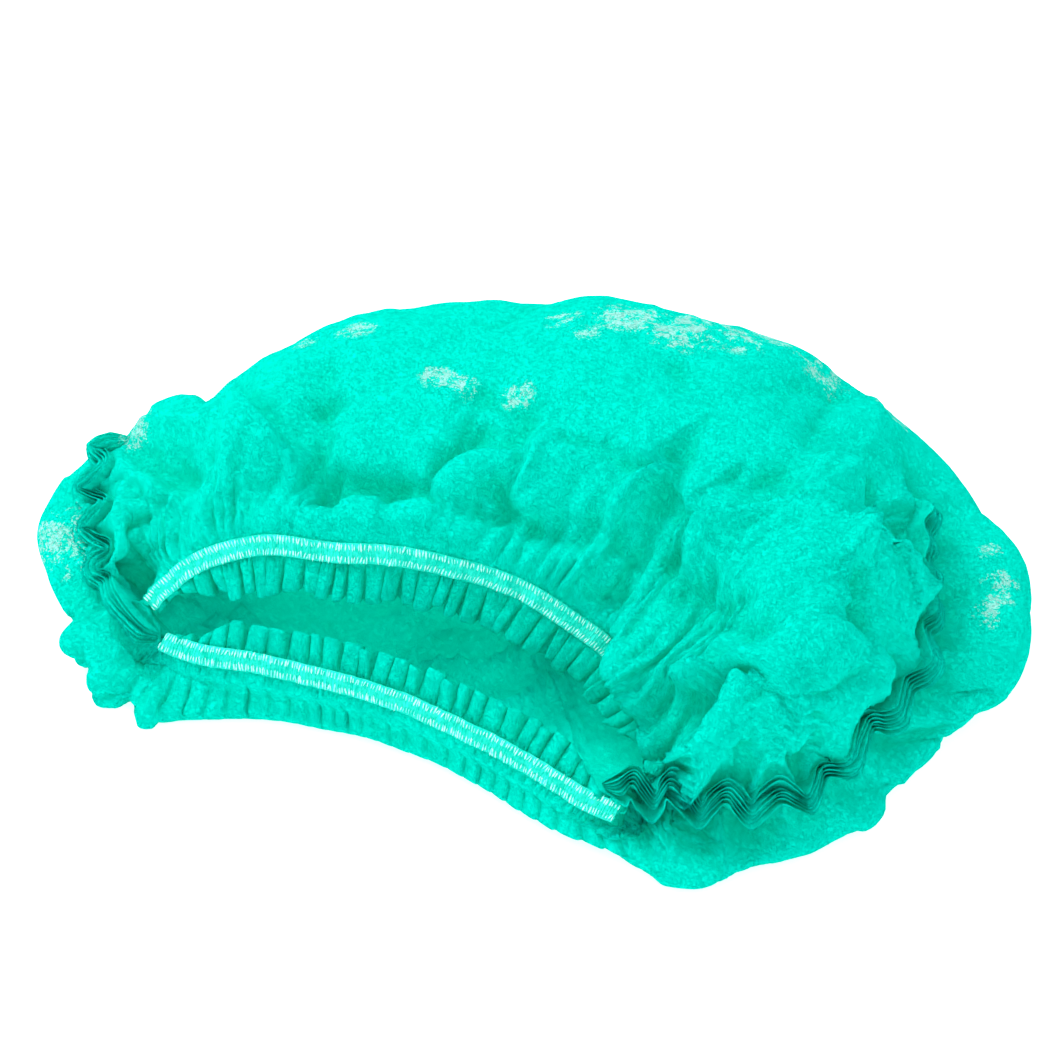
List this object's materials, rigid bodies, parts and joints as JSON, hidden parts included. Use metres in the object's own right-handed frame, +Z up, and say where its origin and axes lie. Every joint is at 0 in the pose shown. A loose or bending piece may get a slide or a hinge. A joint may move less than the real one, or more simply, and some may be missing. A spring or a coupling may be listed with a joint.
{
  "type": "disposable bouffant hair cap",
  "caption": "Disposable bouffant hair cap of pleated nonwoven, gathered round its mouth by two stitched elastics, lying half open on a flat surface with the mouth to the front.",
  "frame": {"origin": "a point near the middle of the flattened face that the cap rests on", "axes": "+X along the mouth from its left corner to its right corner, +Y from the mouth towards the back of the crown, +Z up"},
  "size_m": [0.3153, 0.2132, 0.0929],
  "materials": {
    "nonwoven": "thin matt spun-bonded polypropylene web, partly see-through",
    "elastic": "matt woven elastic under two rows of white stitches"
  },
  "bodies": {
    "root": {"crown": "nonwoven", "rear_hem": "nonwoven", "front_hem": "nonwoven", "right_pleats": "nonwoven", "left_pleats": "nonwoven", "rear_elastic": "elastic", "front_elastic": "elastic"}
  },
  "joints": []
}
